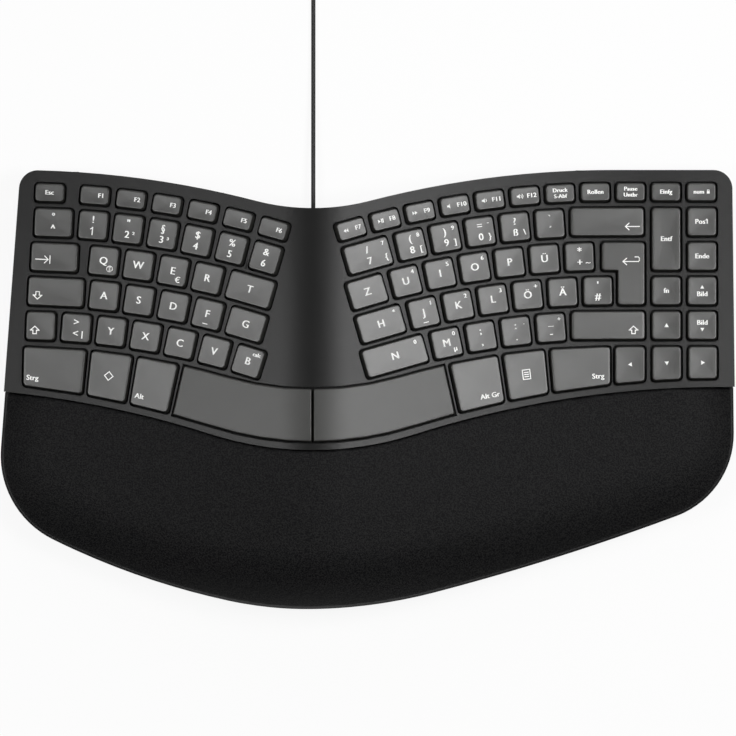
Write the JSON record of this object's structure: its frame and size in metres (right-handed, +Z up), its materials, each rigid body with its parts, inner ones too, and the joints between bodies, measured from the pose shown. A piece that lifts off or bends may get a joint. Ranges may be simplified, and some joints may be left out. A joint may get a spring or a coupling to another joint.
{
  "type": "ergonomic keyboard",
  "caption": "One-piece curved keyboard with two angled key halves over a raised centre, a split space bar, a padded palm rest, folding front legs and a USB cord.",
  "frame": {"origin": "middle of the footprint of the case, without the cord, at the desk under the rubber feet", "axes": "+X to the typist's right, +Y to the back where the cord leaves, +Z up"},
  "size_m": [0.3916, 0.42, 0.0556],
  "materials": {
    "case_plastic": "satin",
    "deck_plastic": "satin",
    "key_plastic": "satin",
    "pad_leather": "fine grain",
    "inner_plastic": "moulded",
    "dome_rubber": "matte",
    "film": "clear film",
    "steel": "zinc plated",
    "board": "solder mask",
    "rubber": "matte",
    "cord_jacket": "matte",
    "plug_grip": "matte",
    "plug_metal": "nickel plated"
  },
  "bodies": {
    "case": {"bottom_case": "case_plastic", "case_screws": "steel", "contact_membrane": "film", "controller_board": "board", "cord_coil": "cord_jacket", "cord_run": "cord_jacket", "dome_sheet": "dome_rubber", "key_frame": "inner_plastic", "palm_pad": "pad_leather", "palm_rest_base": "case_plastic", "plug_body": "plug_grip", "plug_shell": "plug_metal", "rubber_feet": "rubber", "strain_relief": "rubber", "support_plate": "steel", "top_case": "deck_plastic"},
    "left_leg": {"left_leg": "case_plastic"},
    "right_leg": {"right_leg": "case_plastic"},
    "key_a": {"key_a": "key_plastic"},
    "key_b": {"key_b": "key_plastic"},
    "key_backspace": {"key_backspace": "key_plastic"},
    "key_c": {"key_c": "key_plastic"},
    "key_d": {"key_d": "key_plastic"},
    "key_e": {"key_e": "key_plastic"},
    "key_enter": {"key_enter": "key_plastic"},
    "key_f": {"key_f": "key_plastic"},
    "key_g": {"key_g": "key_plastic"},
    "key_h": {"key_h": "key_plastic"},
    "key_i": {"key_i": "key_plastic"},
    "key_j": {"key_j": "key_plastic"},
    "key_k": {"key_k": "key_plastic"},
    "key_l": {"key_l": "key_plastic"},
    "key_m": {"key_m": "key_plastic"},
    "key_n": {"key_n": "key_plastic"},
    "key_o": {"key_o": "key_plastic"},
    "key_p": {"key_p": "key_plastic"},
    "key_q": {"key_q": "key_plastic"},
    "key_r": {"key_r": "key_plastic"},
    "key_s": {"key_s": "key_plastic"},
    "key_shift_right": {"key_shift_right": "key_plastic"},
    "key_space_left": {"key_space_left": "key_plastic"},
    "key_space_right": {"key_space_right": "key_plastic"},
    "key_t": {"key_t": "key_plastic"},
    "key_u": {"key_u": "key_plastic"},
    "key_v": {"key_v": "key_plastic"},
    "key_w": {"key_w": "key_plastic"},
    "key_x": {"key_x": "key_plastic"},
    "key_y": {"key_y": "key_plastic"},
    "key_z": {"key_z": "key_plastic"},
    "keys_arrow": {"keys_arrow": "key_plastic"},
    "keys_bottom_left": {"keys_bottom_left": "key_plastic"},
    "keys_bottom_right": {"keys_bottom_right": "key_plastic"},
    "keys_function_left": {"keys_function_left": "key_plastic"},
    "keys_function_right": {"keys_function_right": "key_plastic"},
    "keys_left_edge": {"keys_left_edge": "key_plastic"},
    "keys_navigation": {"keys_navigation": "key_plastic"},
    "keys_number_left": {"keys_number_left": "key_plastic"},
    "keys_number_right": {"keys_number_right": "key_plastic"},
    "keys_punctuation": {"keys_punctuation": "key_plastic"},
    "keys_system": {"keys_system": "key_plastic"}
  },
  "joints": [
    {"name": "press_a", "type": "slide", "parent": "case", "child": "key_a", "axis": [0.1144, -0.0693, -0.991], "range_m": [0, 0.0026], "stiffness_N_per_m": 220, "springref_m": -0.0005, "deforming": ["dome_sheet"]},
    {"name": "press_b", "type": "slide", "parent": "case", "child": "key_b", "axis": [0.237, -0.0678, -0.9691], "range_m": [0, 0.0026], "stiffness_N_per_m": 220, "springref_m": -0.0005, "deforming": ["dome_sheet"]},
    {"name": "press_backspace", "type": "slide", "parent": "case", "child": "key_backspace", "axis": [-0.0416, -0.0697, -0.9967], "range_m": [0, 0.0026], "stiffness_N_per_m": 220, "springref_m": -0.0005, "deforming": ["dome_sheet"]},
    {"name": "press_c", "type": "slide", "parent": "case", "child": "key_c", "axis": [0.1792, -0.0686, -0.9814], "range_m": [0, 0.0026], "stiffness_N_per_m": 220, "springref_m": -0.0005, "deforming": ["dome_sheet"]},
    {"name": "press_d", "type": "slide", "parent": "case", "child": "key_d", "axis": [0.1734, -0.0687, -0.9824], "range_m": [0, 0.0026], "stiffness_N_per_m": 220, "springref_m": -0.0005, "deforming": ["dome_sheet"]},
    {"name": "press_e", "type": "slide", "parent": "case", "child": "key_e", "axis": [0.1731, -0.0687, -0.9825], "range_m": [0, 0.0026], "stiffness_N_per_m": 220, "springref_m": -0.0005, "deforming": ["dome_sheet"]},
    {"name": "press_enter", "type": "slide", "parent": "case", "child": "key_enter", "axis": [-0.0212, -0.0697, -0.9973], "range_m": [0, 0.0026], "stiffness_N_per_m": 220, "springref_m": -0.0005, "deforming": ["dome_sheet"]},
    {"name": "press_f", "type": "slide", "parent": "case", "child": "key_f", "axis": [0.2026, -0.0683, -0.9769], "range_m": [0, 0.0026], "stiffness_N_per_m": 220, "springref_m": -0.0005, "deforming": ["dome_sheet"]},
    {"name": "press_g", "type": "slide", "parent": "case", "child": "key_g", "axis": [0.2351, -0.0678, -0.9696], "range_m": [0, 0.0026], "stiffness_N_per_m": 220, "springref_m": -0.0005, "deforming": ["dome_sheet"]},
    {"name": "press_h", "type": "slide", "parent": "case", "child": "key_h", "axis": [-0.2339, -0.0678, -0.9699], "range_m": [0, 0.0026], "stiffness_N_per_m": 220, "springref_m": -0.0005, "deforming": ["dome_sheet"]},
    {"name": "press_i", "type": "slide", "parent": "case", "child": "key_i", "axis": [-0.1838, -0.0686, -0.9806], "range_m": [0, 0.0026], "stiffness_N_per_m": 220, "springref_m": -0.0005, "deforming": ["dome_sheet"]},
    {"name": "press_j", "type": "slide", "parent": "case", "child": "key_j", "axis": [-0.1977, -0.0684, -0.9779], "range_m": [0, 0.0026], "stiffness_N_per_m": 220, "springref_m": -0.0005, "deforming": ["dome_sheet"]},
    {"name": "press_k", "type": "slide", "parent": "case", "child": "key_k", "axis": [-0.1685, -0.0688, -0.9833], "range_m": [0, 0.0026], "stiffness_N_per_m": 220, "springref_m": -0.0005, "deforming": ["dome_sheet"]},
    {"name": "press_l", "type": "slide", "parent": "case", "child": "key_l", "axis": [-0.139, -0.0691, -0.9879], "range_m": [0, 0.0026], "stiffness_N_per_m": 220, "springref_m": -0.0005, "deforming": ["dome_sheet"]},
    {"name": "press_m", "type": "slide", "parent": "case", "child": "key_m", "axis": [-0.1783, -0.0686, -0.9816], "range_m": [0, 0.0026], "stiffness_N_per_m": 220, "springref_m": -0.0005, "deforming": ["dome_sheet"]},
    {"name": "press_n", "type": "slide", "parent": "case", "child": "key_n", "axis": [-0.222, -0.068, -0.9727], "range_m": [0, 0.0026], "stiffness_N_per_m": 220, "springref_m": -0.0005, "deforming": ["dome_sheet"]},
    {"name": "press_o", "type": "slide", "parent": "case", "child": "key_o", "axis": [-0.1544, -0.0689, -0.9856], "range_m": [0, 0.0026], "stiffness_N_per_m": 220, "springref_m": -0.0005, "deforming": ["dome_sheet"]},
    {"name": "press_p", "type": "slide", "parent": "case", "child": "key_p", "axis": [-0.1248, -0.0692, -0.9898], "range_m": [0, 0.0026], "stiffness_N_per_m": 220, "springref_m": -0.0005, "deforming": ["dome_sheet"]},
    {"name": "press_q", "type": "slide", "parent": "case", "child": "key_q", "axis": [0.114, -0.0693, -0.9911], "range_m": [0, 0.0026], "stiffness_N_per_m": 220, "springref_m": -0.0005, "deforming": ["dome_sheet"]},
    {"name": "press_r", "type": "slide", "parent": "case", "child": "key_r", "axis": [0.2023, -0.0683, -0.9769], "range_m": [0, 0.0026], "stiffness_N_per_m": 220, "springref_m": -0.0005, "deforming": ["dome_sheet"]},
    {"name": "press_s", "type": "slide", "parent": "case", "child": "key_s", "axis": [0.144, -0.069, -0.9872], "range_m": [0, 0.0026], "stiffness_N_per_m": 220, "springref_m": -0.0005, "deforming": ["dome_sheet"]},
    {"name": "press_shift_right", "type": "slide", "parent": "case", "child": "key_shift_right", "axis": [-0.0409, -0.0697, -0.9967], "range_m": [0, 0.0026], "stiffness_N_per_m": 220, "springref_m": -0.0005, "deforming": ["dome_sheet"]},
    {"name": "press_space_left", "type": "slide", "parent": "case", "child": "key_space_left", "axis": [0.0868, -0.0695, -0.9938], "range_m": [0, 0.0026], "stiffness_N_per_m": 440, "springref_m": -0.0005, "deforming": ["dome_sheet"]},
    {"name": "press_space_right", "type": "slide", "parent": "case", "child": "key_space_right", "axis": [-0.0868, -0.0695, -0.9938], "range_m": [0, 0.0026], "stiffness_N_per_m": 440, "springref_m": -0.0005, "deforming": ["dome_sheet"]},
    {"name": "press_t", "type": "slide", "parent": "case", "child": "key_t", "axis": [0.2386, -0.0677, -0.9688], "range_m": [0, 0.0026], "stiffness_N_per_m": 220, "springref_m": -0.0005, "deforming": ["dome_sheet"]},
    {"name": "press_u", "type": "slide", "parent": "case", "child": "key_u", "axis": [-0.2129, -0.0682, -0.9747], "range_m": [0, 0.0026], "stiffness_N_per_m": 220, "springref_m": -0.0005, "deforming": ["dome_sheet"]},
    {"name": "press_v", "type": "slide", "parent": "case", "child": "key_v", "axis": [0.2083, -0.0682, -0.9757], "range_m": [0, 0.0026], "stiffness_N_per_m": 220, "springref_m": -0.0005, "deforming": ["dome_sheet"]},
    {"name": "press_w", "type": "slide", "parent": "case", "child": "key_w", "axis": [0.1436, -0.069, -0.9872], "range_m": [0, 0.0026], "stiffness_N_per_m": 220, "springref_m": -0.0005, "deforming": ["dome_sheet"]},
    {"name": "press_x", "type": "slide", "parent": "case", "child": "key_x", "axis": [0.1499, -0.069, -0.9863], "range_m": [0, 0.0026], "stiffness_N_per_m": 220, "springref_m": -0.0005, "deforming": ["dome_sheet"]},
    {"name": "press_y", "type": "slide", "parent": "case", "child": "key_y", "axis": [0.1203, -0.0693, -0.9903], "range_m": [0, 0.0026], "stiffness_N_per_m": 220, "springref_m": -0.0005, "deforming": ["dome_sheet"]},
    {"name": "press_z", "type": "slide", "parent": "case", "child": "key_z", "axis": [-0.2454, -0.0676, -0.9671], "range_m": [0, 0.0026], "stiffness_N_per_m": 220, "springref_m": -0.0005, "deforming": ["dome_sheet"]},
    {"name": "press_arrow", "type": "slide", "parent": "case", "child": "keys_arrow", "axis": [-0.0056, -0.0698, -0.9975], "range_m": [0, 0.0026], "stiffness_N_per_m": 880, "springref_m": -0.0005, "deforming": ["dome_sheet"]},
    {"name": "press_bottom_left", "type": "slide", "parent": "case", "child": "keys_bottom_left", "axis": [0.1156, -0.0693, -0.9909], "range_m": [0, 0.0026], "stiffness_N_per_m": 660, "springref_m": -0.0005, "deforming": ["dome_sheet"]},
    {"name": "press_bottom_right", "type": "slide", "parent": "case", "child": "keys_bottom_right", "axis": [-0.1088, -0.0693, -0.9916], "range_m": [0, 0.0026], "stiffness_N_per_m": 660, "springref_m": -0.0005, "deforming": ["dome_sheet"]},
    {"name": "press_function_left", "type": "slide", "parent": "case", "child": "keys_function_left", "axis": [0.1665, -0.0688, -0.9836], "range_m": [0, 0.0026], "stiffness_N_per_m": 1540, "springref_m": -0.0005, "deforming": ["dome_sheet"]},
    {"name": "press_function_right", "type": "slide", "parent": "case", "child": "keys_function_right", "axis": [-0.1857, -0.0685, -0.9802], "range_m": [0, 0.0026], "stiffness_N_per_m": 1320, "springref_m": -0.0005, "deforming": ["dome_sheet"]},
    {"name": "press_left_edge", "type": "slide", "parent": "case", "child": "keys_left_edge", "axis": [0.074, -0.0696, -0.9948], "range_m": [0, 0.0026], "stiffness_N_per_m": 880, "springref_m": -0.0005, "deforming": ["dome_sheet"]},
    {"name": "press_navigation", "type": "slide", "parent": "case", "child": "keys_navigation", "axis": [0, -0.0698, -0.9976], "range_m": [0, 0.0026], "stiffness_N_per_m": 1320, "springref_m": -0.0005, "deforming": ["dome_sheet"]},
    {"name": "press_number_left", "type": "slide", "parent": "case", "child": "keys_number_left", "axis": [0.1634, -0.0688, -0.9842], "range_m": [0, 0.0026], "stiffness_N_per_m": 1540, "springref_m": -0.0005, "deforming": ["dome_sheet"]},
    {"name": "press_number_right", "type": "slide", "parent": "case", "child": "keys_number_right", "axis": [-0.1657, -0.0688, -0.9838], "range_m": [0, 0.0026], "stiffness_N_per_m": 1320, "springref_m": -0.0005, "deforming": ["dome_sheet"]},
    {"name": "press_punctuation", "type": "slide", "parent": "case", "child": "keys_punctuation", "axis": [-0.0947, -0.0694, -0.9931], "range_m": [0, 0.0026], "stiffness_N_per_m": 1760, "springref_m": -0.0005, "deforming": ["dome_sheet"]},
    {"name": "press_system", "type": "slide", "parent": "case", "child": "keys_system", "axis": [-0.031, -0.0697, -0.9971], "range_m": [0, 0.0026], "stiffness_N_per_m": 1100, "springref_m": -0.0005, "deforming": ["dome_sheet"]},
    {"name": "left_leg_fold", "type": "hinge", "parent": "case", "child": "left_leg", "pos_m": [-0.135, -0.07, 0.0044], "axis": [-1, 0, 0], "range_deg": [0, 95]},
    {"name": "right_leg_fold", "type": "hinge", "parent": "case", "child": "right_leg", "pos_m": [0.105, -0.07, 0.0044], "axis": [-1, 0, 0], "range_deg": [0, 95]}
  ]
}
